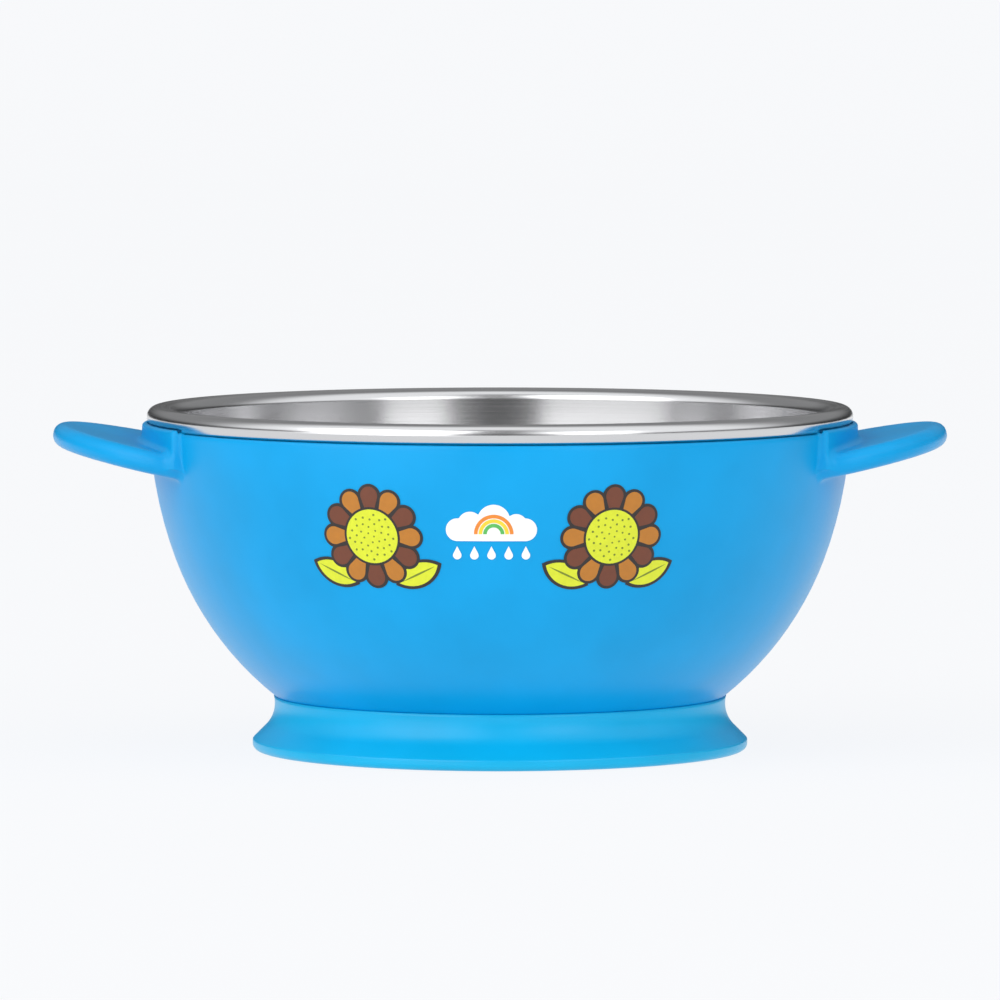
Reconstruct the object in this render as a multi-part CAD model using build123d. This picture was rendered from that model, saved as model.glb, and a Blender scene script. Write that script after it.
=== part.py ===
"""Toddler's suction bowl: a steel liner in a plastic shell with two ear handles, on a rubber suction foot.

Millimetres and degrees. +Z is up and the origin is on the table, on the bowl's axis. The handles lie along X,
the printed front faces -Y and the release tab is at the back, towards +Y.

Turned shapes are drawn as a walk in the radius/height half plane: straight runs and arcs, each tangent to the
last. A wall is the strip between two walks that run side by side.
"""

from build123d import *
import os
from math import cos, hypot, radians, sin, sqrt

SPACE = 200.0  # wider and taller than the bowl
OVERLAP = 0.4  # how far shapes run into each other before they are fused or cut
SNUG = 1e-6  # edge ends closer than this meet

# ---- Shell: one polypropylene moulding -------------------------------------------------------------------
SHELL_WALL = 2.2
SHELL_FLOOR_Z = 6.0  # underside of the floor, above the table
FLOOR_RADIUS = 29.2  # flat part of the floor
CORNER_ARC, CORNER_TURN = 16.8, 38.8  # floor to side
SIDE_ARC, SIDE_TURN = 55.4, 30.7  # lower side
UPPER_ARC, UPPER_TURN = 72.35, 18.8  # upper side, ends almost upright
EDGE_ROUND = 0.45  # top edge of the shell

# ---- Steel liner: 0.6 mm sheet with a rolled rim ---------------------------------------------------------
AIR_GAP = 1.9  # between the shell's inside and the liner
SHEET = 0.6
RIM_TURN = 20.15  # the liner's upper arc runs on to the rim
FLARE_RADIUS = 1.2  # underside of the bend from wall to flange
FLANGE_RISE = 8.0  # degrees
FLANGE_RUN = 1.6
CURL_RADIUS = 1.2  # inside of the rolled edge
CURL_TURN = 235.0

# ---- Seal ring: silicone, in a groove inside the shell's mouth -------------------------------------------
SEAL_Z, SEAL_HEIGHT = 52.4, 2.0
SEAL_OUTER_RADIUS = 60.0
SEAL_BACK = 1.6  # width of the square back
SEAL_LIP_RADIUS = 57.35
SEAL_LIP_HEIGHT = 0.8

# ---- Ear handles, moulded with the shell -----------------------------------------------------------------
HANDLE_THICK = 4.0
HANDLE_TILT = 12.0  # the tip is higher than the root
HANDLE_TIP_X = 78.3
HANDLE_REACH, HANDLE_HALF_WIDTH = 21.4, 27.0  # half axes of the ellipse that the handle's outline follows
HANDLE_MIDDLE_Z = 51.3  # height of the ellipse's centre
HANDLE_EDGE_ROUND = 1.85
PAD_RADIUS = 62.8  # thicker band of shell behind each handle
PAD_HALF_ANGLE = 26.2
PAD_LOW_Z, PAD_TOP_Z = 50.2, 57.5
PAD_STEP_RADIUS = 61.85  # the band's raised part stands clear of the rolled rim
PAD_INNER_RADIUS = 58.8  # well inside the shell's wall
PAD_ROUND = 0.8

# ---- Foot: a polypropylene bayonet ring inside a rubber suction cup --------------------------------------
RUNNING_GAP = 0.15  # between the foot and the shell, so that it turns
BASE_RING_RADII = (33.4, 35.0)  # rib under the shell that carries the bayonet lugs
BASE_RING_LOW_Z = 4.7
LUG_COUNT = 4
LUG_WIDTH_DEG = 38.0
SHELL_LUG_RADIUS, SHELL_LUG_TOP_Z = 36.6, 5.7
RING_RADII = (36.9, 38.0)
RING_Z = (4.4, 7.5)
RING_LUG_RADIUS, RING_LUG_Z = 35.25, (5.85, 6.85)
RING_FLANGE_RADIUS, RING_FLANGE_THICK = 39.2, 1.0  # holds the ring in the rubber
LIP_REST_RADII = (41.0, 42.4)  # flat band that meets the table
LIP_ARC, LIP_FACE = 1.1, 0.55
LIP_TOP_ARC = 0.5
FLARE_RUN, FLARE_ARC = 3.0, 5.6  # straight skirt, then a hollow curve
FLARE_TURN, NECK_TURN = 45.0, 14.0  # skirt from the vertical, and the curve past the neck's narrowest
CUP_WALL_HEADING, CUP_WALL_ARC, CUP_WALL_TURN = 118.0, 4.2, 58.0  # inside of the cup, just behind the lip
CUP_DEPTH = 3.0
LIP_SPLIT_Z = 1.4  # the lip moves with the table below this height

# ---- Release tab: rubber tongue on the lip, at the back --------------------------------------------------
TAB_WIDTH, TAB_REACH = 15.0, 53.0
TAB_Z = (0.35, 1.85)
TAB_GAP = 0.2
TAB_CORNER = 5.0

# ---- Printed labels on the shell's front -----------------------------------------------------------------
FILM_THICK = 0.1
FILM_SINK = 0.02  # hairline between film and shell
ART_Z = 41.2
ART_TURN = -1.4  # the artwork sits a little to the left of the middle
FLOWER_AZIMUTH = 20.0
FLOWER_RADIUS, PETAL_RADIUS, PETALS = 6.9, 2.1, 12  # ring of petal centres, petal, and their number
LEAF_PLACE, LEAF_TILT = (7.5, -6.4), 25.0
LEAF_HALF_LENGTH, LEAF_HALF_WIDTH = 4.6, 2.3
CLOUD_HALF_WIDTH, CLOUD_BASE_HEIGHT, CLOUD_Z_SHIFT = 7.7, 3.9, 1.4
CLOUD_PUFFS = ((-3.6, 1.0, 2.1), (0.4, 1.5, 2.8), (4.2, 0.8, 1.9))  # x, y from the base's middle, and radius
DROPS, DROP_SPACING, DROP_RADIUS, DROP_HEIGHT, DROP_Y = 5, 2.9, 0.72, 2.3, -3.0


def walk(start, heading, moves, side):
    """Edges of a path that keeps side mm to the left of the walk, with the end point and heading."""
    x, z = start
    edges = []

    def beside(px, pz, angle):
        return (px - side * sin(radians(angle)), 0, pz + side * cos(radians(angle)))

    for kind, *sizes in moves:
        begin = beside(x, z, heading)
        if kind == "line":
            x += sizes[0] * cos(radians(heading))
            z += sizes[0] * sin(radians(heading))
            edges.append(Edge.make_line(begin, beside(x, z, heading)))
            continue
        radius, turn = sizes
        hand = 1 if kind == "left" else -1
        centre_x = x - hand * radius * sin(radians(heading))
        centre_z = z + hand * radius * cos(radians(heading))
        stops = []
        for share in (0.5, 1.0):
            angle = heading + hand * share * turn
            x = centre_x + hand * radius * sin(radians(angle))
            z = centre_z - hand * radius * cos(radians(angle))
            stops.append(beside(x, z, angle))
        heading += hand * turn
        edges.append(Edge.make_three_point_arc(begin, *stops))
    return edges, (x, z), heading


def outline(*parts):
    """A closed face in the half plane from edges, with straight edges across the gaps between them."""
    edges = []
    for edge in [e for part in parts for e in part]:
        if edges and (edges[-1] @ 1 - edge @ 0).length > SNUG:
            edges.append(Edge.make_line(edges[-1] @ 1, edge @ 0))
        edges.append(edge)
    if (edges[-1] @ 1 - edges[0] @ 0).length > SNUG:
        edges.append(Edge.make_line(edges[-1] @ 1, edges[0] @ 0))
    return Face(Wire(edges))


def backwards(edges):
    """The same edges, run the other way."""
    flipped = []
    for edge in reversed(edges):
        if edge.geom_type == GeomType.LINE:
            flipped.append(Edge.make_line(edge @ 1, edge @ 0))
        else:
            flipped.append(Edge.make_three_point_arc(edge @ 1, edge @ 0.5, edge @ 0))
    return flipped


def strip(start, moves, low_side, high_side):
    """The face between two walks that run side by side, from the axis outwards."""
    below, _, _ = walk(start, 0, moves, low_side)
    above, _, _ = walk(start, 0, moves, high_side)
    return outline(below, backwards(above))


def turned(face):
    return revolve(face, Axis.Z, 360)


def ring(inner, outer, low, high, middle_deg=0.0, width_deg=360.0):
    """A ring, or the part of one that spans width_deg around middle_deg."""
    corners = [(inner, 0, low), (outer, 0, low), (outer, 0, high), (inner, 0, high)]
    face = Face(Wire.make_polygon(corners, close=True))
    whole = revolve(face, Axis.Z, width_deg)
    return whole.rotate(Axis.Z, middle_deg - width_deg / 2)


# The shell's outside, from the axis to the top edge.
SHELL_START = (0, SHELL_FLOOR_Z)
SHELL_WALK = [
    ("line", FLOOR_RADIUS),
    ("left", CORNER_ARC, CORNER_TURN),
    ("left", SIDE_ARC, SIDE_TURN),
    ("left", UPPER_ARC, UPPER_TURN),
]


def under_shell(gap):
    """Everything above the shell's outside, grown by gap: the space that the foot has to keep out of."""
    below, (_, end_z), _ = walk(SHELL_START, 0, SHELL_WALK, -gap)
    top = Edge.make_line(below[-1] @ 1, (0, 0, end_z))
    return turned(outline(below, [top]))


def shell_cavity():
    """The hollow inside the shell, run on past its mouth."""
    above, _, _ = walk(SHELL_START, 0, SHELL_WALK, SHELL_WALL)
    mouth = above[-1] @ 1
    return turned(outline(above, [Edge.make_line((mouth.X, 0, SPACE), (0, 0, SPACE))]))


def handle_plate():
    """Elliptical plate with a full round edge, tilted so that its tip is high. It points along +X."""
    plate = extrude(Ellipse(HANDLE_REACH, HANDLE_HALF_WIDTH), amount=HANDLE_THICK / 2, both=True)
    rim = [edge for edge in plate.edges() if abs(edge.center().Z) > HANDLE_THICK / 4]
    plate = fillet(rim, HANDLE_EDGE_ROUND)
    centre_x = HANDLE_TIP_X - HANDLE_REACH * cos(radians(HANDLE_TILT))
    return Location((centre_x, 0, HANDLE_MIDDLE_Z), (0, -HANDLE_TILT, 0)) * plate


def handle_pad():
    """The thick band of shell behind a handle, raised beside the rolled rim. It is centred on +X."""
    width = 2 * PAD_HALF_ANGLE
    band = ring(PAD_INNER_RADIUS, PAD_RADIUS, PAD_LOW_Z, PAD_TOP_Z, 0, width)

    def inner_end(edge):
        return min(hypot(end.X, end.Y) for end in (edge @ 0, edge @ 1))

    outside = [edge for edge in band.edges() if inner_end(edge) > PAD_RADIUS - OVERLAP]
    return fillet(outside, PAD_ROUND)


def outer_shell():
    """Bowl-shaped shell with its ear handles, base ring and bayonet lugs."""
    wall = turned(strip(SHELL_START, SHELL_WALK, 0, SHELL_WALL))
    top_edges = wall.edges().filter_by(GeomType.CIRCLE).group_by(Axis.Z)[-1]
    wall = fillet(top_edges, EDGE_ROUND)
    _, (_, top_z), _ = walk(SHELL_START, 0, SHELL_WALK, 0)
    ear = handle_plate() + handle_pad()
    ear -= shell_cavity()
    ear -= ring(PAD_INNER_RADIUS - OVERLAP, PAD_STEP_RADIUS, top_z - EDGE_ROUND, PAD_TOP_Z + OVERLAP)
    shell = wall + ear + ear.mirror(Plane.YZ)
    shell += ring(*BASE_RING_RADII, BASE_RING_LOW_Z, SHELL_FLOOR_Z + SHELL_WALL / 2)
    for i in range(LUG_COUNT):
        middle = i * 360 / LUG_COUNT
        inner = BASE_RING_RADII[1] - OVERLAP
        shell += ring(inner, SHELL_LUG_RADIUS, BASE_RING_LOW_Z, SHELL_LUG_TOP_Z, middle, LUG_WIDTH_DEG)
    return shell - liner_seal()


def steel_liner():
    """Pressed steel bowl, parallel to the shell, with a flange that rolls over and under."""
    inset = SHELL_WALL + AIR_GAP
    moves = [
        ("line", FLOOR_RADIUS),
        ("left", CORNER_ARC - inset, CORNER_TURN),
        ("left", SIDE_ARC - inset, SIDE_TURN),
        ("left", UPPER_ARC - inset, RIM_TURN),
        ("right", FLARE_RADIUS, CORNER_TURN + SIDE_TURN + RIM_TURN - FLANGE_RISE),
        ("line", FLANGE_RUN),
        ("right", CURL_RADIUS, CURL_TURN),
    ]
    return turned(strip((0, SHELL_FLOOR_Z + inset), moves, 0, SHEET))


def liner_seal():
    """Silicone ring: a square back in the shell's groove and a thin lip against the liner."""
    middle = SEAL_Z + SEAL_HEIGHT / 2
    back_r = SEAL_OUTER_RADIUS - SEAL_BACK
    corners = [
        (SEAL_OUTER_RADIUS, 0, SEAL_Z),
        (SEAL_OUTER_RADIUS, 0, SEAL_Z + SEAL_HEIGHT),
        (back_r, 0, SEAL_Z + SEAL_HEIGHT),
        (SEAL_LIP_RADIUS, 0, middle + SEAL_LIP_HEIGHT / 2),
        (SEAL_LIP_RADIUS, 0, middle - SEAL_LIP_HEIGHT / 2),
        (back_r, 0, SEAL_Z),
    ]
    return turned(Face(Wire.make_polygon(corners, close=True)))


def foot_lock_ring():
    """Bayonet ring: four lugs hook over the shell's lugs, and an outer flange anchors it in the rubber."""
    lock = ring(*RING_RADII, *RING_Z)
    lock += ring(RING_RADII[1] - OVERLAP, RING_FLANGE_RADIUS, RING_Z[0], RING_Z[0] + RING_FLANGE_THICK)
    for i in range(LUG_COUNT):
        middle = i * 360 / LUG_COUNT
        lock += ring(RING_LUG_RADIUS, RING_RADII[0] + OVERLAP, *RING_LUG_Z, middle, LUG_WIDTH_DEG)
    return lock


def rubber_cup():
    """Collar, hollow flare, lip and diaphragm in one turned piece."""
    outside, _, _ = walk(
        (LIP_REST_RADII[1], 0),
        0,
        [
            ("left", LIP_ARC, 90),
            ("line", LIP_FACE),
            ("left", LIP_TOP_ARC, FLARE_TURN),
            ("line", FLARE_RUN),
            ("right", FLARE_ARC, FLARE_TURN + NECK_TURN),
        ],
        0,
    )
    inside, _, _ = walk((LIP_REST_RADII[0], 0), CUP_WALL_HEADING, [("left", CUP_WALL_ARC, CUP_WALL_TURN)], 0)
    collar_r, floor_z = RING_RADII[1], RING_Z[0]
    neck = outside[-1] @ 1
    inner_top = [
        Edge.make_line((neck.X, 0, neck.Z), (collar_r, 0, neck.Z)),
        Edge.make_line((collar_r, 0, neck.Z), (collar_r, 0, floor_z)),
        Edge.make_line((collar_r, 0, floor_z), (0, 0, floor_z)),
        Edge.make_line((0, 0, floor_z), (0, 0, CUP_DEPTH)),
    ]
    cup = turned(outline(outside, inner_top, backwards(inside)))
    return cup - under_shell(RUNNING_GAP) - foot_lock_ring()


def release_tab():
    """Tongue that lifts the lip. Its root follows the lip's curve, one gap away."""
    lip_radius = LIP_REST_RADII[1] + LIP_ARC
    low, high = TAB_Z
    tongue = Pos(0, TAB_REACH / 2, low) * extrude(Rectangle(TAB_WIDTH, TAB_REACH), amount=high - low)
    corners = tongue.edges().filter_by(Axis.Z).group_by(Axis.Y)[-1]
    tongue = fillet(corners, TAB_CORNER)
    return tongue - Cylinder(lip_radius + TAB_GAP, SPACE)


def label_skin():
    """Thin skin just outside the shell, from which the labels are cut."""
    skin = strip(SHELL_START, SHELL_WALK, -(FILM_SINK + FILM_THICK), -FILM_SINK)
    return turned(skin)


def label(plan, azimuth):
    """A label with this plan, wrapped on the front of the shell at an azimuth from -Y towards +X."""
    outward = extrude(Plane((0, 0, ART_Z), x_dir=(1, 0, 0), z_dir=(0, -1, 0)) * plan, amount=SPACE / 2)
    film = outward & label_skin()
    return film.rotate(Axis.Z, azimuth)


def flower_plan():
    """Flower with a round middle and a ring of petals, over a leaf on each side."""
    plan = Circle(FLOWER_RADIUS)
    for i in range(PETALS):
        angle = radians(i * 360 / PETALS)
        plan += Pos(FLOWER_RADIUS * sin(angle), FLOWER_RADIUS * cos(angle)) * Circle(PETAL_RADIUS)
    leaf_arc = (LEAF_HALF_LENGTH**2 + LEAF_HALF_WIDTH**2) / (2 * LEAF_HALF_WIDTH)
    offset = leaf_arc - LEAF_HALF_WIDTH
    leaf = (Pos(0, offset) * Circle(leaf_arc)) & (Pos(0, -offset) * Circle(leaf_arc))
    for side in (-1, 1):
        plan += Pos(side * LEAF_PLACE[0], LEAF_PLACE[1]) * Rot(0, 0, side * LEAF_TILT) * leaf
    return plan


def cloud_plan():
    """Cloud, a flat pill under three puffs, over a row of raindrops."""
    plan = Pos(0, CLOUD_Z_SHIFT) * SlotOverall(2 * CLOUD_HALF_WIDTH, CLOUD_BASE_HEIGHT)
    for x, y, radius in CLOUD_PUFFS:
        plan += Pos(x, y + CLOUD_Z_SHIFT) * Circle(radius)
    tip = DROP_HEIGHT - DROP_RADIUS
    shoulder = DROP_RADIUS * sqrt(1 - (DROP_RADIUS / tip) ** 2)
    height = DROP_RADIUS**2 / tip
    for i in range(DROPS):
        x = (i - (DROPS - 1) / 2) * DROP_SPACING
        corners = [(x - shoulder, DROP_Y + height), (x, DROP_Y + tip), (x + shoulder, DROP_Y + height)]
        point = make_face(Polyline(*corners, close=True))
        plan += Pos(x, DROP_Y) * Circle(DROP_RADIUS) + point
    return plan


def main():
    os.makedirs("parts", exist_ok=True)
    cup = rubber_cup()
    below = Pos(0, 0, LIP_SPLIT_Z - SPACE / 2) * Box(SPACE, SPACE, SPACE)
    pieces = {
        "outer_shell": outer_shell(),
        "steel_liner": steel_liner(),
        "liner_seal": liner_seal(),
        "foot_lock_ring": foot_lock_ring(),
        "suction_foot": cup - below,
        "sealing_lip": cup & below,
        "release_tab": release_tab(),
        "flower_label_left": label(flower_plan(), ART_TURN - FLOWER_AZIMUTH),
        "cloud_label": label(cloud_plan(), ART_TURN),
        "flower_label_right": label(flower_plan(), ART_TURN + FLOWER_AZIMUTH),
    }
    for name, piece in pieces.items():
        export_step(piece, f"parts/{name}.step")


main()
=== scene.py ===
"""Looks of the toddler's suction bowl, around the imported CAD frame.

Sizes of the bowl are in millimetres and become metres through MM; the stage at the end is in metres. The
turned surfaces are walks in the radius/height half plane, straight runs and tangent arcs, with the radii of
the CAD solids that they stand for.
"""

from math import atan2, ceil, cos, degrees, hypot, pi, radians, sin, sqrt

import bpy
import numpy as np
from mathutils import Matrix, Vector


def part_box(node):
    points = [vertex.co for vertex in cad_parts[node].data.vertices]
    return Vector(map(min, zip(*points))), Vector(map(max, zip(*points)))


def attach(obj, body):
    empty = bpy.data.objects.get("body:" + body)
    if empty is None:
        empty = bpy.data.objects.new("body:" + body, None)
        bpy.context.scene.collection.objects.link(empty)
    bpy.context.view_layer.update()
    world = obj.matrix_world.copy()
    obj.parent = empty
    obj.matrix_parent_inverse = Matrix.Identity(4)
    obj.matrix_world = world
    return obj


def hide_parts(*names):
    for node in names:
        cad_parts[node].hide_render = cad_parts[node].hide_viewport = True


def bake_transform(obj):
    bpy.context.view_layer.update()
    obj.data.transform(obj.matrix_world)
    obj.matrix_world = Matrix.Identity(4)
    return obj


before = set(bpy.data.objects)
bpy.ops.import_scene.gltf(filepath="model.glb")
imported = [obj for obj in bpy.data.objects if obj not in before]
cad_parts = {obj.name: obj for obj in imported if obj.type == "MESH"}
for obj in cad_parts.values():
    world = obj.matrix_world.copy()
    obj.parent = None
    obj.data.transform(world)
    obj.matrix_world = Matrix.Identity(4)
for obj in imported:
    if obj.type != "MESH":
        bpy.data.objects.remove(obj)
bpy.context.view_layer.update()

MM = 0.001


def node_mm(node):
    """Lowest and highest corner of a CAD node, in millimetres."""
    low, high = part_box(node)
    return tuple(low / MM), tuple(high / MM)


# ---- Shell -----------------------------------------------------------------------------------------------
SHELL_WALL = 2.2
SHELL_FLOOR_Z = 6.0
SHELL_WALK = [
    ("line", 29.2),
    ("left", 16.8, 38.8),
    ("left", 55.4, 30.7),
    ("left", 72.35, 18.8),
]
EDGE_ROUND = 0.45
EDGE_LIFT = 0.2  # the top edge reaches up to the rolled rim
BASE_RING = (33.4, 35.0, 4.7)  # inner and outer radius, underside
BASE_LUG = (34.6, 36.6, 4.7, 5.7)  # inner and outer radius, underside, top
LUG_COUNT, LUG_WIDTH_DEG = 4, 38.0
SEAL_GROOVE = (60.0, 52.4, 54.4)  # bottom radius, lower and upper side

# ---- Steel liner -----------------------------------------------------------------------------------------
LINER_START_Z, SHEET = 10.1, 0.6
LINER_WALK = [
    ("line", 29.2),
    ("left", 12.7, 38.8),
    ("left", 51.3, 30.7),
    ("left", 68.25, 20.15),
    ("right", 1.2, 81.65),
    ("line", 1.6),
    ("right", 1.2, 235.0),
]

# ---- Ear handles -----------------------------------------------------------------------------------------
EAR_TIP_X = node_mm("outer_shell")[1][0]
EAR_HALF_AXES = (21.4, 27.0)
EAR_THICK = 4.0
EAR_TILT = 12.0
EAR_MIDDLE_Z = 51.3
EAR_ROUND = 1.85
PAD_RADIUS, PAD_STEP_RADIUS = 62.8, 61.85
PAD_HALF_ANGLE, PAD_TOP_Z, PAD_ROUND, PAD_TOP_ROUND = 26.2, 57.5, 1.0, 0.6
PAD_BURIED = 1.0  # how far the band's lower part reaches into the wall
PAD_FILLET, END_FILLET = 1.4, 0.8

# ---- How finely the shell is traced ----------------------------------------------------------------------
RAY_INSET = 0.4  # the rays start this far inside the middle of the wall
FACE_RAYS = (2.2, 17.0, 26)  # nearest and furthest point on an ear's face, and how many
TIP_RAYS, RISE_RAYS, DROP_RAYS = 19, 50, 20
RAYS_FROM, RAYS_TO = -86.0, 105.0  # lowest and highest direction in degrees
RAY_LENGTH, RAY_SAMPLES, RAY_HALVINGS = 24.0, 481, 22
# Angles of the ring's columns, from an ear's middle: first and last degree, and how many
RING_SPREAD = ((0, 18, 15), (18, 29, 56), (29, 90, 26))
EAR_SEAM, EDGE_SEAM, GROOVE_SEAM = 0.4, 0.3, 0.2  # heights left free where rows of points meet
GROOVE_STEP = 0.08
SHARP_DEG, LABEL_SHARP_DEG = 50, 40  # edges that bend by more than this are shaded as corners

# ---- Rubber foot -----------------------------------------------------------------------------------------
LIP_REST = (41.0, 42.4)
LIP_ARC, LIP_FACE, LIP_TOP_ARC = 1.1, 0.55, 0.5
SKIRT_TURN, SKIRT_RUN, SKIRT_ARC, NECK_TURN = 45.0, 3.0, 5.6, 14.0
CUP_WALL_ARC, CUP_WALL_TURN = 4.2, 62.0
CUP_DEPTH, DIAPHRAGM_TOP_Z = 3.0, 4.4
CUP_RIBS, CUP_RIB = (10.0, 17.0, 24.0, 31.0), 0.5  # rings on the cup's ceiling, and their half width
CUP_WALL_OPEN, CUP_EDGE_RADIUS = 4, 35.5  # degrees left off the wall's arc, and where the ceiling starts
NUB_RADII = (1.2, 1.8, 2.2)
COLLAR_RADIUS, COLLAR_TOP_Z = 37.3, 8.0
COLLAR_SLOPE, COLLAR_BEVEL, DIAPHRAGM_BEVEL = 1.0, 0.3, 0.4
NECK_EDGE = (0.35, 0.05)  # inwards and upwards from the top of the neck

# ---- Release tab -----------------------------------------------------------------------------------------
TAB_HALF_WIDTH, TAB_CORNER = 7.5, 5.0
TAB_FLARE, TAB_FLARE_RUN = 2.2, 3.4
TAB_ROOT_Y, TAB_BEND_Y = 42.6, (43.6, 47.2)
TAB_STATION, TAB_EDGE_ROUND = 0.4, 0.6
NOSE, NOSE_START, NOSE_TURNS = 0.75, 1.0, (0, 20, 38, 54, 68, 80)
RIDGES, RIDGE_FIRST, RIDGE_SPACING = 3, 2.6, 1.7
RIDGE_HALF, RIDGE_GROWTH, RIDGE_ROUND, RIDGE_SUNK = 3.4, 0.6, 0.42, 0.12

# ---- Labels ----------------------------------------------------------------------------------------------
ART_Z, ART_TURN, FLOWER_AZIMUTH = 41.2, -1.4, 20.0
FLOWER_RADIUS, PETAL_RADIUS, PETALS = 6.9, 2.1, 12
LEAF_PLACE, LEAF_TILT, LEAF_HALF = (7.5, -6.4), 25.0, (4.6, 2.3)
HEART_RADIUS, HEART_RIM, HEART_INSET = 4.75, 0.28, 0.12
# A petal's middle, radius, root and half its root's width
PETAL_SHAPE = (FLOWER_RADIUS + 0.1, PETAL_RADIUS - 0.55, HEART_RADIUS - 0.2, 0.8)
LEAF_BORDER, LEAF_RIB = (0.75, 0.5), (1.3, 0.16)
SEEDS, SEED_SPREAD, SEED_OFFSET = 40, 0.66, 0.4
SEED_RADIUS, SEED_GROWTH = 0.15, 0.014
CLOUD_HALF_WIDTH, CLOUD_BASE_HEIGHT, CLOUD_Z_SHIFT = 7.7, 3.9, 1.4
CLOUD_PUFFS = ((-3.6, 1.0, 2.1), (0.4, 1.5, 2.8), (4.2, 0.8, 1.9))
BOWS, BOW_PLACE = 3, (0.4, -0.75)  # the rainbow, and its centre in the cloud
BOW_RADIUS, BOW_STEP, BOW_WIDTH = 3.35, 0.78, 0.62
DROPS, DROP_SPACING, DROP_RADIUS, DROP_HEIGHT, DROP_Y = 5, 2.9, 0.72, 2.3, -3.0
DROP_SHOULDER = 58  # degrees of the round end that the point takes the place of, on each side
BLOB_RING = 0.9  # widest ring of faces in a filled outline
FILM = (0.02, 0.12)  # lower and upper face above the shell
INK = (0.11, 0.16)
TOP_INK = (0.155, 0.19)
LEAF_FILM, LEAF_INK = (FILM[0], FILM[1] - 0.02), (INK[0] - 0.02, INK[1] - 0.045)
RIB_INK = (LEAF_INK[1] - 0.01, LEAF_INK[1] + 0.015)
HEART_INK, SEED_INK = (INK[0], INK[1] + 0.015), (TOP_INK[1] - 0.01, TOP_INK[1] + 0.02)


# ---- Mesh tools ------------------------------------------------------------------------------------------


def new_mesh(name, verts, faces):
    """Smoothly shaded object from points in millimetres."""
    mesh = bpy.data.meshes.new(name)
    mesh.from_pydata((np.array(verts, float) * MM).tolist(), [], faces)
    mesh.validate()
    mesh.update()
    mesh.shade_smooth()
    obj = bpy.data.objects.new(name, mesh)
    bpy.context.scene.collection.objects.link(obj)
    return obj


def walk(start, heading, moves, side=0.0, arc_step=3.0, run_step=2.0):
    """Points of a path of lines and tangent arcs, kept side mm to the left of the walk."""
    x, z = start
    points = []

    def note():
        points.append((x - side * sin(radians(heading)), z + side * cos(radians(heading))))

    note()
    for kind, *sizes in moves:
        if kind == "line":
            pieces = max(1, round(sizes[0] / run_step))
            for _ in range(pieces):
                x += sizes[0] / pieces * cos(radians(heading))
                z += sizes[0] / pieces * sin(radians(heading))
                note()
            continue
        radius, turn = sizes
        hand = 1 if kind == "left" else -1
        centre_x = x - hand * radius * sin(radians(heading))
        centre_z = z + hand * radius * cos(radians(heading))
        pieces = max(2, ceil(turn / arc_step))
        for _ in range(pieces):
            heading += hand * turn / pieces
            x = centre_x + hand * radius * sin(radians(heading))
            z = centre_z - hand * radius * cos(radians(heading))
            note()
    return points


def columns(rows, closed=True):
    """Vertices and faces of a grid of rows of points that run round the axis, from the first row to the last.

    A row of one point is a pole. The faces look outwards when the rows run from the bottom outside upwards.
    """
    verts, rings = [], []
    steps = max(len(row) for row in rows)
    for row in rows:
        if len(row) == 1:
            rings.append([len(verts)] * steps)
        else:
            rings.append(list(range(len(verts), len(verts) + steps)))
        verts += [tuple(p) for p in row]
    faces = []
    for a, b in zip(rings, rings[1:] + (rings[:1] if closed else [])):
        for i in range(steps):
            j = (i + 1) % steps
            face = list(dict.fromkeys((a[i], a[j], b[j], b[i])))
            if len(face) > 2:
                faces.append(face)
    return verts, faces


def turn_row(r, z, angles):
    """The point (r, z) of the half plane, turned to each angle in radians."""
    if r < 1e-6:
        return [(0.0, 0.0, z)]
    return [(r * cos(a), r * sin(a), z) for a in angles]


def spin(name, outline, steps=288):
    """Solid of revolution from a closed outline of (radius, height), counter-clockwise in the half plane."""
    angles = [2 * pi * i / steps for i in range(steps)]
    return new_mesh(name, *columns([turn_row(r, z, angles) for r, z in outline]))


def join(first, *others):
    """One object from several, with the first one's name."""
    for obj in bpy.context.selected_objects:
        obj.select_set(False)
    for obj in (first, *others):
        obj.select_set(True)
    bpy.context.view_layer.objects.active = first
    bpy.ops.object.join()
    return first


# ---- The shell's outside ---------------------------------------------------------------------------------


def shell_arcs():
    """Centre, radius and highest point of each arc of the shell's outside, from the floor up."""
    x, z, heading, arcs = 0.0, SHELL_FLOOR_Z, 0.0, []
    for kind, *sizes in SHELL_WALK:
        if kind == "line":
            x += sizes[0]
            continue
        radius, turn = sizes
        cx, cz = x - radius * sin(radians(heading)), z + radius * cos(radians(heading))
        heading += turn
        x, z = cx + radius * sin(radians(heading)), cz - radius * cos(radians(heading))
        arcs.append((cx, cz, radius, z))
    return arcs


SHELL_ARCS = shell_arcs()
SHELL_TOP_Z = SHELL_ARCS[-1][3] + EDGE_LIFT


def shell_radius(z, lift=0.0):
    """Radius of the shell's outside at height z, moved outwards by lift."""
    for cx, cz, radius, top in SHELL_ARCS:
        if z <= top:
            return cx + sqrt((radius + lift) ** 2 - (z - cz) ** 2)


def round_union(a, b, r):
    """Distance to the union of two shapes, with a fillet of radius r where they meet."""
    u, v = np.maximum(r - a, 0), np.maximum(r - b, 0)
    return np.maximum(r, np.minimum(a, b)) - np.hypot(u, v)


def round_meet(a, b, r):
    """Distance to what two shapes share, with its edge rounded to radius r."""
    u, v = np.maximum(r + a, 0), np.maximum(r + b, 0)
    return np.minimum(-r, np.maximum(a, b)) + np.hypot(u, v)


def ear_middle_z(x):
    """Height of an ear's middle plane at distance x from the axis."""
    centre_x = EAR_TIP_X - EAR_HALF_AXES[0] * cos(radians(EAR_TILT))
    return EAR_MIDDLE_Z + (x - centre_x) * sin(radians(EAR_TILT)) / cos(radians(EAR_TILT))


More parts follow.
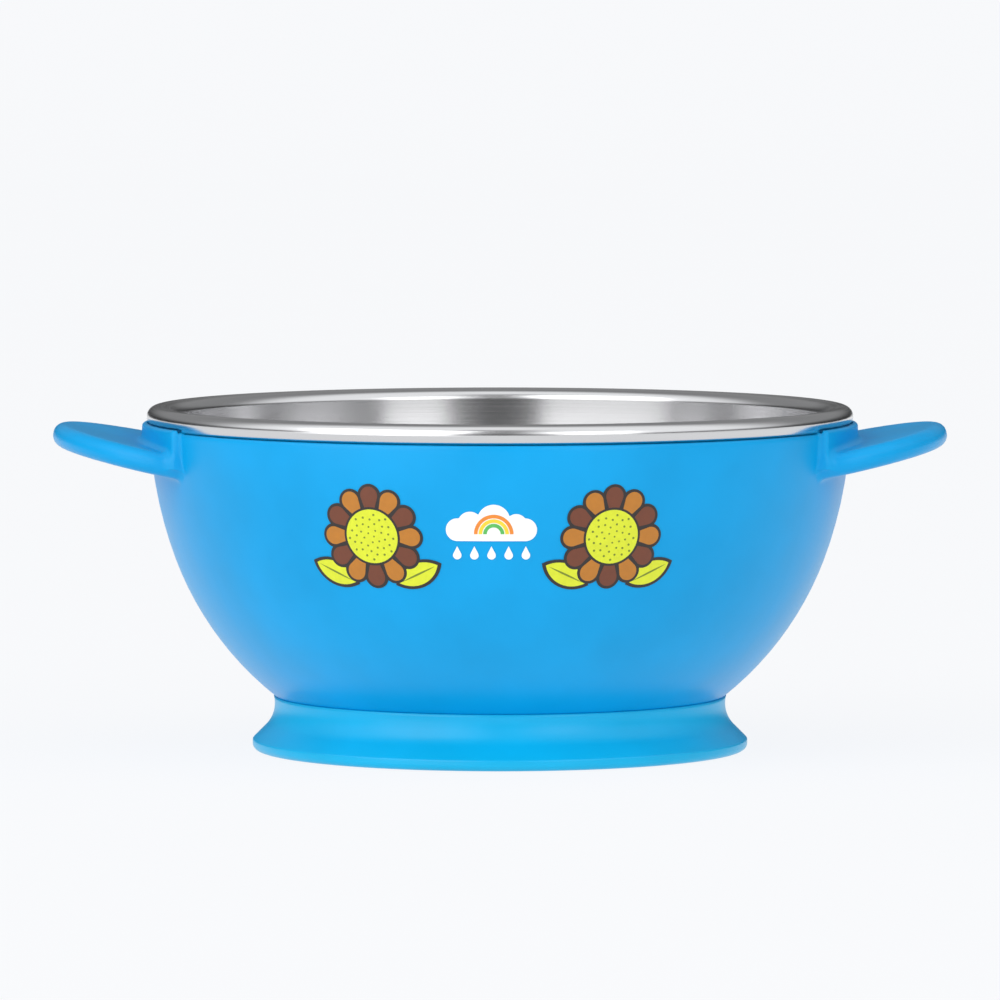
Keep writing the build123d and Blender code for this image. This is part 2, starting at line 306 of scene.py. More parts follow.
def shell_distance(radius, angle, z):
    """Distance to the outside near an ear, below zero in the plastic; angle is from the ear's middle."""
    x, y = radius * np.cos(angle), radius * np.sin(angle)
    cx, cz, arc, _ = SHELL_ARCS[-1]
    from_arc = np.hypot(radius - cx, z - cz) - arc
    wall = np.maximum(from_arc, -SHELL_WALL - from_arc)
    wall = round_meet(wall, z - SHELL_TOP_Z, EDGE_ROUND)

    tilt = radians(EAR_TILT)
    a, b = EAR_HALF_AXES
    centre_x = EAR_TIP_X - a * cos(tilt)
    along = (x - centre_x) * cos(tilt) + (z - EAR_MIDDLE_Z) * sin(tilt)
    above = (z - EAR_MIDDLE_Z) * cos(tilt) - (x - centre_x) * sin(tilt)
    tiny = 1e-9
    ratio = np.hypot(along / a, y / b) + tiny
    slope = np.hypot(along / a**2, y / b**2) + tiny
    plate = round_meet(ratio * (ratio - 1) / slope, np.abs(above) - EAR_THICK / 2, EAR_ROUND)
    plate = np.maximum(plate, PAD_STEP_RADIUS - SHELL_WALL - radius)

    side = (np.abs(angle) - radians(PAD_HALF_ANGLE)) * radius
    band = round_meet(radius - PAD_RADIUS, side, PAD_ROUND)
    band = np.maximum(band, ear_middle_z(x) - z)
    low_part = np.maximum(np.maximum(band, z - SHELL_TOP_Z), PAD_STEP_RADIUS - PAD_BURIED - radius)
    high_part = np.maximum(round_meet(band, z - PAD_TOP_Z, PAD_TOP_ROUND), PAD_STEP_RADIUS - radius)
    pad = np.minimum(low_part, high_part)
    return round_union(wall, round_union(pad, plate, PAD_FILLET), END_FILLET)


def ear_rays(angle):
    """Start and directions, in the half plane at this angle, of the rays that find the moulding's outside."""
    start_r = PAD_STEP_RADIUS - SHELL_WALL / 2 - RAY_INSET
    start = (start_r, float(ear_middle_z(start_r * cos(min(angle, radians(PAD_HALF_ANGLE))))))
    lean = atan2(sin(radians(EAR_TILT)) * cos(angle), cos(radians(EAR_TILT)))
    half = EAR_THICK / 2
    face = [atan2(half, s) for s in np.linspace(*FACE_RAYS)]
    tip = list(np.linspace(-face[-1], face[-1], TIP_RAYS))[1:-1]
    near = degrees(face[0])
    rise = [radians(d) for d in np.linspace(near, RAYS_TO - degrees(lean), RISE_RAYS)][1:]
    drop = [radians(d) for d in np.linspace(RAYS_FROM - degrees(lean), -near, DROP_RAYS)][:-1]
    return start, [lean + d for d in drop + [-f for f in face] + tip + face[::-1] + rise]


def ear_section(angle):
    """Points (radius, height) of the outside from below the ear's root to the inside of the top edge."""
    (r0, z0), directions = ear_rays(angle)
    reach = np.linspace(0.0, RAY_LENGTH, RAY_SAMPLES)
    d = np.array(directions)[:, None]
    inside = shell_distance(r0 + reach * np.cos(d), angle, z0 + reach * np.sin(d)) < 0
    last = inside.shape[1] - 1 - np.argmax(inside[:, ::-1], axis=1)
    low, high = reach[last], reach[np.minimum(last + 1, len(reach) - 1)]
    d = d[:, 0]
    for _ in range(RAY_HALVINGS):
        middle = (low + high) / 2
        solid = shell_distance(r0 + middle * np.cos(d), angle, z0 + middle * np.sin(d)) < 0
        low, high = np.where(solid, middle, low), np.where(solid, high, middle)
    return np.stack([r0 + low * np.cos(d), z0 + low * np.sin(d)], axis=1)


def ring_angles():
    """Angles round the shell, close together where an ear starts."""
    quarter = [0.0]
    for first, last, count in RING_SPREAD:
        quarter += [radians(a) for a in np.linspace(first, last, count)[1:]]
    half = quarter + [pi - a for a in reversed(quarter[:-1])]
    return half + [2 * pi - a for a in reversed(half[1:-1])]


def shell():
    """Bowl, ears, top edge, inside, and the base ring with its bayonet lugs."""
    angles = ring_angles()
    from_ear = [round(min(a % pi, pi - a % pi), 9) for a in angles]
    sections = {turn: ear_section(turn) for turn in dict.fromkeys(from_ear)}
    table = np.array([sections[turn] for turn in from_ear])
    outside = walk((0, SHELL_FLOOR_Z), 0, SHELL_WALK)
    inside = walk((0, SHELL_FLOOR_Z), 0, SHELL_WALK, SHELL_WALL)
    join_z = float(table[:, 0, 1].min()) - EAR_SEAM
    rows = [turn_row(r, z, angles) for r, z in outside if z < join_z]
    for k in range(table.shape[1]):
        rows.append([(r * cos(a), r * sin(a), z) for a, (r, z) in zip(angles, table[:, k])])
    lowest_inner = float(table[:, -1, 1].min()) - EDGE_SEAM
    groove_r, groove_low, groove_high = SEAL_GROOVE
    above = [(r, z) for r, z in reversed(inside) if groove_high + GROOVE_SEAM < z < lowest_inner]
    below = [(r, z) for r, z in reversed(inside) if z < groove_low - GROOVE_SEAM]
    mouth_r = below[0][0] + GROOVE_STEP
    groove = [(mouth_r, groove_high), (groove_r, groove_high), (groove_r, groove_low), (mouth_r, groove_low)]
    rows += [turn_row(r, z, angles) for r, z in above + groove + below]
    body = new_mesh("outer_shell_moulding", *columns(rows, closed=False))
    body.data.set_sharp_from_angle(angle=radians(SHARP_DEG))
    inner, outer, under = BASE_RING
    buried = SHELL_FLOOR_Z + SHELL_WALL / 2
    base = [ring_part("base_ring", inner, outer, under, buried, 0, 360)]
    for i in range(LUG_COUNT):
        base.append(ring_part(f"lug_{i}", *BASE_LUG, i * 360 / LUG_COUNT, LUG_WIDTH_DEG))
    return join(body, *base)


def ring_part(name, inner, outer, low, high, middle_deg, width_deg, edge=0.15):
    """The part of a softly edged ring that spans width_deg around middle_deg."""
    section = rounded_section((outer - inner) / 2, low, high, edge, 2)
    section = [((inner + outer) / 2 + r, z) for r, z in section]
    if width_deg == 360:
        obj = spin(name, section)
    else:
        steps = ceil(width_deg / 3)
        turns = [radians(middle_deg - width_deg / 2 + width_deg * i / steps) for i in range(steps + 1)]
        verts = [(r * cos(a), r * sin(a), z) for a in turns for r, z in section]
        count = len(section)
        faces = []
        for k in range(steps):
            here, there = k * count, (k + 1) * count
            for i in range(count):
                j = (i + 1) % count
                faces.append([there + i, there + j, here + j, here + i])
        faces += [list(range(count)), list(range(len(verts) - count, len(verts)))[::-1]]
        obj = new_mesh(name, verts, faces)
    obj.data.set_sharp_from_angle(angle=radians(SHARP_DEG))
    return obj


# ---- Steel liner -----------------------------------------------------------------------------------------


def steel_liner():
    """Pressed sheet: the walk along its underside, the cut edge in the roll, and the walk back inside."""
    start = (0, LINER_START_Z)
    under = walk(start, 0, LINER_WALK, arc_step=4.0)
    inside = walk(start, 0, LINER_WALK, SHEET, arc_step=4.0)
    return spin("steel_liner_bowl", under + inside[::-1], 256)


# ---- Rubber foot and tab ---------------------------------------------------------------------------------


def rubber_cup():
    """Lip, skirt, neck, collar and diaphragm of the foot, as one turned piece."""
    outside = walk(
        (LIP_REST[1], 0.0),
        0,
        [
            ("left", LIP_ARC, 90),
            ("line", LIP_FACE),
            ("left", LIP_TOP_ARC, SKIRT_TURN),
            ("line", SKIRT_RUN),
            ("right", SKIRT_ARC, SKIRT_TURN + NECK_TURN),
        ],
        arc_step=6.0,
        run_step=0.5,
    )
    wall = [("left", CUP_WALL_ARC, CUP_WALL_TURN - CUP_WALL_OPEN)]
    inside = walk((LIP_REST[0], 0.0), 180 - CUP_WALL_TURN, wall, arc_step=6.0)
    neck_r, neck_z = outside[-1]
    top = [
        (neck_r - NECK_EDGE[0], neck_z + NECK_EDGE[1]),
        (COLLAR_RADIUS + COLLAR_SLOPE, COLLAR_TOP_Z),
        (COLLAR_RADIUS, COLLAR_TOP_Z - COLLAR_BEVEL),
        (COLLAR_RADIUS, DIAPHRAGM_TOP_Z + DIAPHRAGM_BEVEL),
        (COLLAR_RADIUS - DIAPHRAGM_BEVEL, DIAPHRAGM_TOP_Z),
        (20.0, DIAPHRAGM_TOP_Z),
        (0.0, DIAPHRAGM_TOP_Z),
    ]
    wall_r, wall_z = inside[-1]

    def ceiling(r):
        return CUP_DEPTH + (wall_z - CUP_DEPTH) * (r / wall_r) ** 2

    middle = ceiling(0)
    nub = (middle - CUP_RIB, middle - CUP_RIB / 2, middle)
    under = [(0.0, middle - CUP_RIB), *zip(NUB_RADII, nub)]
    for rib_r in CUP_RIBS:
        for i in range(9):
            a = pi * i / 8
            r = rib_r - CUP_RIB * cos(a)
            under.append((r, ceiling(r) - CUP_RIB * sin(a)))
    under.append((CUP_EDGE_RADIUS, ceiling(CUP_EDGE_RADIUS)))
    return spin("rubber_cup", outside + top + under + inside[::-1])


def rounded_section(half_width, low, high, round_r, count=6):
    """Points of a rounded rectangle in the x/z plane, counter-clockwise."""
    points = []
    r = min(round_r, half_width * 0.98, (high - low) / 2 * 0.98)
    for cx, cz, start in (
        (half_width - r, high - r, 0),
        (-half_width + r, high - r, 90),
        (-half_width + r, low + r, 180),
        (half_width - r, low + r, 270),
    ):
        for i in range(count + 1):
            a = radians(start + 90 * i / count)
            points.append((cx + r * cos(a), cz + r * sin(a)))
    return points


def pull_tab():
    """Tongue with a flared root, a rounded end and three finger ridges."""
    (_, _, low), (_, reach, high) = node_mm("release_tab")
    sections = []
    steps = ceil((reach - NOSE_START - TAB_ROOT_Y) / TAB_STATION)
    stations = [TAB_ROOT_Y + TAB_STATION * i for i in range(steps)]
    stations += [reach - NOSE + NOSE * sin(radians(a)) for a in NOSE_TURNS]
    for y in stations:
        width = TAB_HALF_WIDTH
        if y < TAB_ROOT_Y + TAB_FLARE_RUN:
            width += TAB_FLARE * (1 - (y - TAB_ROOT_Y) / TAB_FLARE_RUN) ** 2
        corner = y - (reach - TAB_CORNER)
        if corner > 0:
            width -= TAB_CORNER - sqrt(max(TAB_CORNER**2 - corner**2, 0))
        thin = 0.0
        nose = y - (reach - NOSE)
        if nose > 0:
            thin = NOSE - sqrt(max(NOSE**2 - nose**2, 0))
        ring = rounded_section(width, low + thin, high - thin, TAB_EDGE_ROUND)
        sections.append([(x, y, z) for x, z in ring])
    verts, faces = columns(sections, closed=False)
    count = len(sections[0])
    faces = [face[::-1] for face in faces]
    faces.append(list(range(count)))
    faces.append(list(range(len(verts) - count, len(verts)))[::-1])
    tongue = new_mesh("pull_tab", verts, faces)
    ridges = []
    round_angles = np.linspace(0, 2 * pi, 13)[:-1]
    for k in range(RIDGES):
        middle_y, middle_z = reach - RIDGE_FIRST - RIDGE_SPACING * k, high - RIDGE_SUNK
        half = RIDGE_HALF + RIDGE_GROWTH * k
        rows = []
        for i in range(17):
            x = -half + 2 * half * i / 16
            size = RIDGE_ROUND * sqrt(max(1 - (x / half) ** 6, 0.002))
            rows.append([(x, middle_y + size * cos(t), middle_z + size * sin(t)) for t in round_angles])
        ridges.append(new_mesh(f"ridge_{k}", *columns(rows, closed=False)))
    return join(tongue, *ridges)


# ---- Printed labels --------------------------------------------------------------------------------------


def on_shell(x, y, azimuth, lift):
    """A point of a label's drawing, wrapped on the shell's front at an azimuth from -Y towards +X."""
    r = shell_radius(ART_Z + y, lift)
    depth = -sqrt(r * r - x * x)
    a = radians(azimuth)
    return (x * cos(a) - depth * sin(a), x * sin(a) + depth * cos(a), ART_Z + y)


class Drawing:
    """Flat shapes with a thickness and an ink each, wrapped on the shell as one mesh."""

    def __init__(self, azimuth):
        self.azimuth = azimuth
        self.verts, self.faces, self.inks = [], [], []

    def slab(self, points, faces, layer, ink):
        """A closed slab from a flat mesh: top, underside and the side wall along its open edges."""
        base, count = len(self.verts), len(points)
        for lift in reversed(layer):
            self.verts += [on_shell(x, y, self.azimuth, lift) for x, y in points]
        edges = dict.fromkeys(edge for face in faces for edge in zip(face, face[1:] + face[:1]))
        slab = [[base + i for i in face] for face in faces]
        slab += [[base + count + i for i in reversed(face)] for face in faces]
        under = base + count
        slab += [[base + b, base + a, under + a, under + b] for a, b in edges if (b, a) not in edges]
        self.faces += slab
        self.inks += [ink] * len(slab)

    def blob(self, outline, centre, layer, ink):
        """A star-shaped outline, filled by rings about its centre."""
        size = max(hypot(x - centre[0], y - centre[1]) for x, y in outline)
        rings = max(1, ceil(size / BLOB_RING))
        points, faces, count = [centre], [], len(outline)
        for k in range(1, rings + 1):
            for x, y in outline:
                dx, dy = x - centre[0], y - centre[1]
                points.append((centre[0] + dx * k / rings, centre[1] + dy * k / rings))
        for i in range(count):
            j = (i + 1) % count
            faces.append([0, 1 + i, 1 + j])
            for k in range(rings - 1):
                a = 1 + k * count
                faces.append([a + i, a + count + i, a + count + j, a + j])
        self.slab(points, faces, layer, ink)

    def arch(self, centre, inner, outer, first, last, layer, ink):
        """Part of a ring between two angles in degrees."""
        steps = ceil((last - first) / 6)
        points, faces = [], []
        for i in range(steps + 1):
            a = radians(first + (last - first) * i / steps)
            points += [(centre[0] + r * cos(a), centre[1] + r * sin(a)) for r in (inner, outer)]
        for i in range(steps):
            faces.append([2 * i, 2 * i + 1, 2 * i + 3, 2 * i + 2])
        self.slab(points, faces, layer, ink)

    def build(self, name, inks):
        """The drawing as one object, with its inks as materials."""
        obj = new_mesh(name, self.verts, self.faces)
        for ink in inks:
            obj.data.materials.append(ink)
        obj.data.polygons.foreach_set("material_index", self.inks)
        obj.data.set_sharp_from_angle(angle=radians(LABEL_SHARP_DEG))
        return obj


def disc(centre, radius, count):
    """Outline of a circle."""
    angles = [2 * pi * i / count for i in range(count)]
    return [(centre[0] + radius * cos(a), centre[1] + radius * sin(a)) for a in angles]


def exit_distance(origin, angle, circles):
    """How far a ray from origin runs before it leaves the last of these circles."""
    best = 0.0
    for x, y, r in circles:
        dx, dy = x - origin[0], y - origin[1]
        along = dx * cos(angle) + dy * sin(angle)
        inside = r * r - (dx * dx + dy * dy - along * along)
        if inside > 0:
            best = max(best, along + sqrt(inside))
    return best


def merged_circles(origin, circles, count=240):
    """Outline round overlapping circles, as seen from origin."""
    outline = []
    for i in range(count):
        a = 2 * pi * i / count
        d = exit_distance(origin, a, circles)
        outline.append((origin[0] + d * cos(a), origin[1] + d * sin(a)))
    return outline


def turned(points, place, degrees_left):
    """Points turned to the left about the origin, then moved to a place."""
    a = radians(degrees_left)
    return [(place[0] + x * cos(a) - y * sin(a), place[1] + x * sin(a) + y * cos(a)) for x, y in points]


def leaf_outline(length, width, count=18):
    """Pointed leaf: two arcs that meet at its tips, along x."""
    arc = (length**2 + width**2) / (2 * width)
    half = [length * cos(pi * i / count) for i in range(count + 1)]
    upper = [(x, sqrt(arc**2 - x * x) - (arc - width)) for x in half]
    return upper + [(x, -y) for x, y in reversed(upper[1:-1])]


def petal_outline(middle, radius, root, root_half, count=16):
    """Teardrop along x: a round end about the middle, narrowing to its root."""
    arc = [radians(-115 + 230 * i / count) for i in range(count + 1)]
    points = [(middle + radius * cos(a), radius * sin(a)) for a in arc]
    return points + [(root, root_half), (root - 0.25, 0.0), (root, -root_half)]


def drop_outline(x, y, count=16):
    """Raindrop: a round end about (x, y) and a point above it."""
    tip = DROP_HEIGHT - DROP_RADIUS
    arc = [radians(90 + DROP_SHOULDER + (360 - 2 * DROP_SHOULDER) * i / count) for i in range(count + 1)]
    return [(x + DROP_RADIUS * cos(a), y + DROP_RADIUS * sin(a)) for a in arc] + [(x, y + tip)]


def flower_label(name, azimuth, inks):
    """Sunflower with striped petals over two leaves. Inks: outline, brown, amber, yellow-green, olive."""
    art = Drawing(azimuth)
    petals = [2 * pi * i / PETALS for i in range(PETALS)]
    circles = [(FLOWER_RADIUS * sin(a), FLOWER_RADIUS * cos(a), PETAL_RADIUS) for a in petals]
    art.blob(merged_circles((0, 0), circles + [(0, 0, FLOWER_RADIUS)]), (0, 0), FILM, 0)
    for side in (-1, 1):
        place = (side * LEAF_PLACE[0], LEAF_PLACE[1])
        art.blob(turned(leaf_outline(*LEAF_HALF), place, side * LEAF_TILT), place, LEAF_FILM, 0)
        inner = leaf_outline(LEAF_HALF[0] - LEAF_BORDER[0], LEAF_HALF[1] - LEAF_BORDER[1])
        art.blob(turned(inner, place, side * LEAF_TILT), place, LEAF_INK, 3)
        rib = leaf_outline(LEAF_HALF[0] - LEAF_RIB[0], LEAF_RIB[1])
        art.blob(turned(rib, place, side * LEAF_TILT), place, RIB_INK, 4)
    for k, a in enumerate(petals):
        outline = petal_outline(*PETAL_SHAPE)
        art.blob(turned(outline, (0, 0), 90 - degrees(a)), circles[k][:2], INK, 1 + k % 2)
    art.blob(disc((0, 0), HEART_RADIUS + HEART_RIM, 72), (0, 0), HEART_INK, 0)
    art.blob(disc((0, 0), HEART_RADIUS - HEART_INSET, 72), (0, 0), (INK[1], TOP_INK[1]), 3)
    for k in range(SEEDS):
        a, r = k * pi * (3 - sqrt(5)), SEED_SPREAD * sqrt(k + SEED_OFFSET)
        seed = (r * cos(a), r * sin(a))
        art.blob(disc(seed, SEED_RADIUS + SEED_GROWTH * r, 10), seed, SEED_INK, 4)
    return art.build(name, inks)


def pill_circles(half_width, height, y, count=40):
    """Circles whose outline is a flat pill."""
    reach = half_width - height / 2
    return [(-reach + 2 * reach * i / count, y, height / 2) for i in range(count + 1)]


def cloud_label_art(name, azimuth, inks):
    """White cloud with a small rainbow, over a row of raindrops. Inks: white, orange, yellow, green."""
    art = Drawing(azimuth)
    circles = pill_circles(CLOUD_HALF_WIDTH, CLOUD_BASE_HEIGHT, CLOUD_Z_SHIFT)
    circles += [(x, y + CLOUD_Z_SHIFT, r) for x, y, r in CLOUD_PUFFS]
    centre = (0.0, CLOUD_Z_SHIFT + 0.4)
    art.blob(merged_circles(centre, circles, 300), centre, FILM, 0)
    for k in range(BOWS):
        outer = BOW_RADIUS - BOW_STEP * k
        art.arch((BOW_PLACE[0], CLOUD_Z_SHIFT + BOW_PLACE[1]), outer - BOW_WIDTH, outer, 0, 180, INK, 1 + k)
    for i in range(DROPS):
        x = (i - (DROPS - 1) / 2) * DROP_SPACING
        art.blob(drop_outline(x, DROP_Y), (x, DROP_Y), FILM, 0)
    return art.build(name, inks)


# ---- Materials -------------------------------------------------------------------------------------------


class Nodes:
    """A material's node tree, with short names for the nodes used here."""

    def __init__(self, name):
        self.material = bpy.data.materials.new(name)
        self.material.use_nodes = True
        self.tree = self.material.node_tree
        self.shader = self.tree.nodes["Principled BSDF"]

    def add(self, kind, **inputs):
        """A new node; each input is named with _ for a space, and is a value or another node's output."""
        node = self.tree.nodes.new(kind)
        for key, value in inputs.items():
            self.feed(node.inputs[key.replace("_", " ")], value)
        return node

    def feed(self, socket, value):
        if isinstance(value, bpy.types.NodeSocket):
            self.tree.links.new(value, socket)
        else:
            socket.default_value = value

    def place(self):
        """Object-space position in metres."""
        return self.tree.nodes.new("ShaderNodeTexCoord").outputs["Object"]

    def math(self, operation, *values):
        node = self.tree.nodes.new("ShaderNodeMath")
        node.operation = operation
        for socket, value in zip(node.inputs, values):
            self.feed(socket, value)
        return node.outputs[0]

    def noise(self, scale, detail, rough=0.5, place=None):
        place = place or self.place()
        node = self.add("ShaderNodeTexNoise", Vector=place, Scale=scale, Detail=detail, Roughness=rough)
        return node.outputs["Fac"]

    def fit(self, value, low, high, to_low, to_high):
        """value, mapped from one range to another."""
        node = self.tree.nodes.new("ShaderNodeMapRange")
        for socket, entry in zip(node.inputs, (value, low, high, to_low, to_high)):
            self.feed(socket, entry)
        return node.outputs[0]

    def ramp(self, value, *stops):
        """Colour from value, through stops of (position, colour)."""
        node = self.tree.nodes.new("ShaderNodeValToRGB")
        elements = node.color_ramp.elements
        while len(elements) < len(stops):
            elements.new(0.5)
        for element, (at, colour) in zip(elements, stops):
            element.position = at
            element.color = (*colour, 1)
        self.feed(node.inputs[0], value)
        return node.outputs[0]

    def bump(self, height, distance):
        """Normal from a height in 0..1 that stands for distance in metres."""
        return self.add("ShaderNodeBump", Height=height, Distance=distance, Strength=1.0).outputs[0]

    def finish(self, **inputs):
        """Set or link the shader's inputs, and return the material."""
        for key, value in inputs.items():
            self.feed(self.shader.inputs[key.replace("_", " ")], value)
        return self.material


def linear(r, g, b):
    """Linear colour from 8-bit display values."""
    return tuple((c / 255 / 12.92) if c <= 10 else ((c / 255 + 0.055) / 1.055) ** 2.4 for c in (r, g, b))


NOISE_SPAN = (0.3, 0.7)  # what a noise mostly stays within
GRAIN_MM, GRAIN_DEPTH, GRAIN_GLOSS = 0.5, 0.004, 0.015
TONE_SPREAD, GLOSS_SPREAD = 0.06, 0.03


def plastic(name, colour, rough, **more):
    """Moulded plastic or rubber: a fine grain, and slow changes of gloss and tone."""
    n = Nodes(name)
    slow = n.noise(55.0, 3.0)
    fine = n.noise(1000 / GRAIN_MM, 2.0)
    tone = n.fit(slow, *NOISE_SPAN, 0.0, 1.0)
    dark = tuple(c * (1 - TONE_SPREAD) for c in colour)
    light = tuple(min(c * (1 + TONE_SPREAD), 1) for c in colour)
    shade = n.ramp(tone, (0.0, dark), (1.0, light))
    broad_gloss = n.fit(slow, *NOISE_SPAN, rough - GLOSS_SPREAD, rough + GLOSS_SPREAD)
    gloss = n.math("ADD", broad_gloss, n.fit(fine, *NOISE_SPAN, -GRAIN_GLOSS, GRAIN_GLOSS))
    bump = n.bump(fine, GRAIN_DEPTH * MM)
    return n.finish(Base_Color=shade, Roughness=gloss, Normal=bump, **more)


def spun_steel(name):
    """Stainless steel, spun bright: fine turning lines round the axis and a soft circular sheen."""
    n = Nodes(name)
    x, y, z = n.add("ShaderNodeSeparateXYZ", Vector=n.place()).outputs
    radius = n.math("SQRT", n.math("ADD", n.math("MULTIPLY", x, x), n.math("MULTIPLY", y, y)))
    lines = n.add("ShaderNodeCombineXYZ", X=radius, Y=z).outputs[0]
    streak = n.noise(3600.0, 3.0, 0.7, lines)
    broad = n.noise(420.0, 2.0, 0.5, lines)
    smudge = n.noise(38.0, 4.0)
    rough = n.math("ADD", n.fit(streak, *NOISE_SPAN, 0.15, 0.21), n.fit(smudge, 0.45, 0.75, 0.0, 0.05))
    shade = n.ramp(broad, (0.3, (0.64, 0.64, 0.65)), (0.7, (0.675, 0.675, 0.685)))
    tangent = n.tree.nodes.new("ShaderNodeTangent")
    tangent.direction_type = "RADIAL"
    tangent.axis = "Z"
    bump = n.bump(streak, 0.0015 * MM)
    n.finish(Base_Color=shade, Metallic=1.0, Roughness=rough, Normal=bump)
    return n.finish(Anisotropic=0.45, Tangent=tangent.outputs[0])


INK_ROUGH = (0.34, 0.43)


def ink(name, colour):
    """Screen-printed ink under a clear film."""
    n = Nodes(name)
    mottle = n.noise(900.0, 3.0)
    shade = n.ramp(mottle, (0.25, tuple(c * 0.9 for c in colour)), (0.75, colour))
    bump = n.bump(n.noise(2500.0, 1.0), 0.002 * MM)
    rough = n.fit(mottle, *NOISE_SPAN, *INK_ROUGH)
    return n.finish(Base_Color=shade, Roughness=rough, Normal=bump, Coat_Weight=0.25)


SHELL_BLUE = (0.0, 0.345, 0.745)
FOOT_BLUE = (0.0, 0.42, 0.75)

SHELL_PLASTIC = plastic("shell_plastic", SHELL_BLUE, 0.34, Specular_IOR_Level=0.22)
RUBBER = plastic("foot_rubber", FOOT_BLUE, 0.34, Specular_IOR_Level=0.3)
STEEL = spun_steel("steel")
SEAL_GREY, RING_WHITE = linear(205, 212, 214), linear(226, 230, 232)
SILICONE = plastic("seal_silicone", SEAL_GREY, 0.42, Subsurface_Weight=0.2, Subsurface_Scale=0.002)
RING_PLASTIC = plastic("ring_plastic", RING_WHITE, 0.4)
FLOWER_INKS = [
    ink("flower_outline", linear(34, 26, 24)),
    ink("petal_brown", linear(112, 54, 26)),
    ink("petal_amber", linear(190, 120, 22)),
    ink("flower_lime", linear(222, 232, 36)),
    ink("flower_olive", linear(120, 138, 22)),
]
CLOUD_INKS = [
    ink("cloud_white", linear(252, 253, 253)),
    ink("rainbow_orange", linear(240, 140, 40)),
    ink("rainbow_yellow", linear(250, 215, 50)),
    ink("rainbow_green", linear(90, 190, 90)),
]


# ---- The bowl --------------------------------------------------------------------------------------------


def dress(node_or_object, surface):
    """Give a new object, or the CAD node of this name, one material."""
    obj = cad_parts[node_or_object] if isinstance(node_or_object, str) else node_or_object
    obj.data.materials.clear()
    obj.data.materials.append(surface)
    return obj


moulding = dress(shell(), SHELL_PLASTIC)
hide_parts("outer_shell")
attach(moulding, "shell")
bowl = dress(steel_liner(), STEEL)
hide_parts("steel_liner")
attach(bowl, "liner")
dress("liner_seal", SILICONE)
dress("foot_lock_ring", RING_PLASTIC)

cup = dress(rubber_cup(), RUBBER)
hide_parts("suction_foot", "sealing_lip")
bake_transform(cup)

tab = dress(pull_tab(), RUBBER)
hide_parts("release_tab")
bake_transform(tab)

for node, azimuth in (("flower_label_left", -FLOWER_AZIMUTH), ("flower_label_right", FLOWER_AZIMUTH)):
    picture = flower_label("printed_" + node, ART_TURN + azimuth, FLOWER_INKS)
    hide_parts(node)
    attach(picture, "shell")
picture = cloud_label_art("printed_cloud_label", ART_TURN, CLOUD_INKS)
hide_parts("cloud_label")
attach(picture, "shell")


# ---- Floor, lights and camera ----------------------------------------------------------------------------
FLOOR_GLOW = (240, 241, 243)
RISE = (0.08, 0.3, 0.18, 1.15)  # from the horizon up: first and last height, brightness at each
BEHIND = (-0.1, 0.5, 1.0, 0.26)  # dimmer behind the bowl
FRONT_GAP = (0.05, 0.26, 0.8, 0.0)  # dark strip between the front walls, by distance from the middle
GAP_DEPTH = (-0.3, -0.05, 1.0, 0.0)
GAP_HEIGHT = (0.75, 0.95, 1.0, 0.0)
BELOW = (-0.02, 0.02, 1.0, 0.0)  # bright below the horizon
FLOOR_TONES = ((0.075, 0.076, 0.078), (0.08, 0.081, 0.083))


def stage_floor():
    """Pale, evenly lit sheet that lies on the table and sweeps up behind the bowl."""
    near, far, reach, height, bend, drop = -4.0, 5.0, 6.0, 5.0, 1.5, -0.0001
    profile = [(near, drop), (far - bend, drop)]
    steps = 24
    for i in range(1, steps + 1):
        a = radians(90 * i / steps)
        profile.append((far - bend + bend * sin(a), drop + bend - bend * cos(a)))
    profile.append((far, height))
    verts = [(x / MM, y / MM, z / MM) for x in (-reach, reach) for y, z in profile]
    count = len(profile)
    floor = new_mesh("floor", verts, [(i, count + i, count + i + 1, i + 1) for i in range(count - 1)])
    n = Nodes("floor_paper")
    mottle = n.noise(12.0, 3.0)
    shade = n.ramp(mottle, (0.0, FLOOR_TONES[0]), (1.0, FLOOR_TONES[1]))
    glow = (*linear(*FLOOR_GLOW), 1)
    paper = n.finish(
        Base_Color=shade, Roughness=0.9, Specular_IOR_Level=0.0, Emission_Color=glow, Emission_Strength=1.0
    )
    dress(floor, paper)
    floor.visible_glossy = False
    floor.visible_diffuse = False


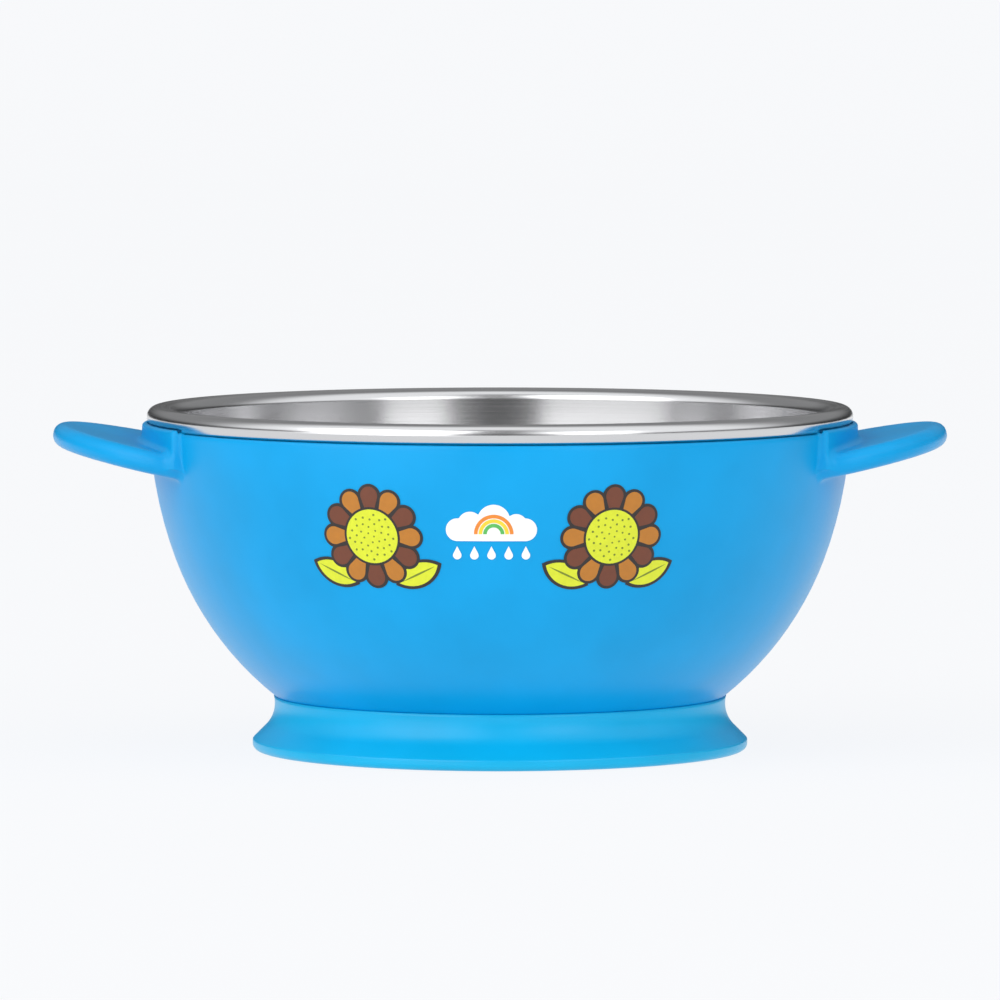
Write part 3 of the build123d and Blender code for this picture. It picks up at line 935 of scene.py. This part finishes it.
def studio_world():
    """Light of a dim room with bright walls and ceiling: each term is a smooth step over directions."""
    world = bpy.data.worlds.new("studio")
    bpy.context.scene.world = world
    world.use_nodes = True
    tree = world.node_tree

    def feed(socket, value):
        if isinstance(value, bpy.types.NodeSocket):
            tree.links.new(value, socket)
        else:
            socket.default_value = value

    def math(operation, *values):
        node = tree.nodes.new("ShaderNodeMath")
        node.operation = operation
        for socket, value in zip(node.inputs, values):
            feed(socket, value)
        return node.outputs[0]

    def step(value, low, high, to_low, to_high):
        node = tree.nodes.new("ShaderNodeMapRange")
        node.interpolation_type = "SMOOTHSTEP"
        for socket, entry in zip(node.inputs, (value, low, high, to_low, to_high)):
            feed(socket, entry)
        return node.outputs[0]

    place = tree.nodes.new("ShaderNodeTexCoord").outputs["Generated"]
    split = tree.nodes.new("ShaderNodeSeparateXYZ")
    tree.links.new(place, split.inputs[0])
    x, y, z = split.outputs
    level = step(z, *RISE)
    level = math("MULTIPLY", level, step(y, *BEHIND))
    sideways = math("ABSOLUTE", x)
    gap = math("MULTIPLY", step(sideways, *FRONT_GAP), step(y, *GAP_DEPTH))
    gap = math("MULTIPLY", gap, step(z, *GAP_HEIGHT))
    level = math("MULTIPLY", level, math("SUBTRACT", 1.0, gap))
    level = math("MAXIMUM", level, step(z, *BELOW))
    shine = tree.nodes["Background"]
    shine.inputs["Color"].default_value = (0.98, 0.99, 1.0, 1)
    tree.links.new(level, shine.inputs["Strength"])


def softbox(name, place, target, size, power):
    """White rectangular light at a place in metres, turned towards a target."""
    data = bpy.data.lights.new(name, "AREA")
    data.shape = "RECTANGLE"
    data.size, data.size_y = size
    data.energy = power
    light = bpy.data.objects.new(name, data)
    light.location = place
    light.rotation_euler = (Vector(target) - Vector(place)).to_track_quat("-Z", "Y").to_euler()
    bpy.context.scene.collection.objects.link(light)


def camera():
    """The view from a little above the rim, 1.5 m in front of the bowl."""
    data = bpy.data.cameras.new("camera")
    data.lens, data.sensor_width = 308.05, 36.0
    data.clip_start, data.clip_end = 0.05, 50.0
    eye = bpy.data.objects.new("camera", data)
    eye.location = (0.0, -1.5, 0.1417)
    eye.rotation_euler = (radians(90 - 3.736), 0.0, 0.0)
    bpy.context.scene.collection.objects.link(eye)
    bpy.context.scene.camera = eye


stage_floor()
studio_world()
MIDDLE = (0, 0, 0.035)
softbox("front_left", (-0.95, -1.15, 0.6), MIDDLE, (1.5, 1.7), 12.2)
softbox("front_right", (0.75, -1.25, 0.5), MIDDLE, (0.7, 0.9), 3.0)
camera()
bpy.context.scene.view_settings.view_transform = "Standard"
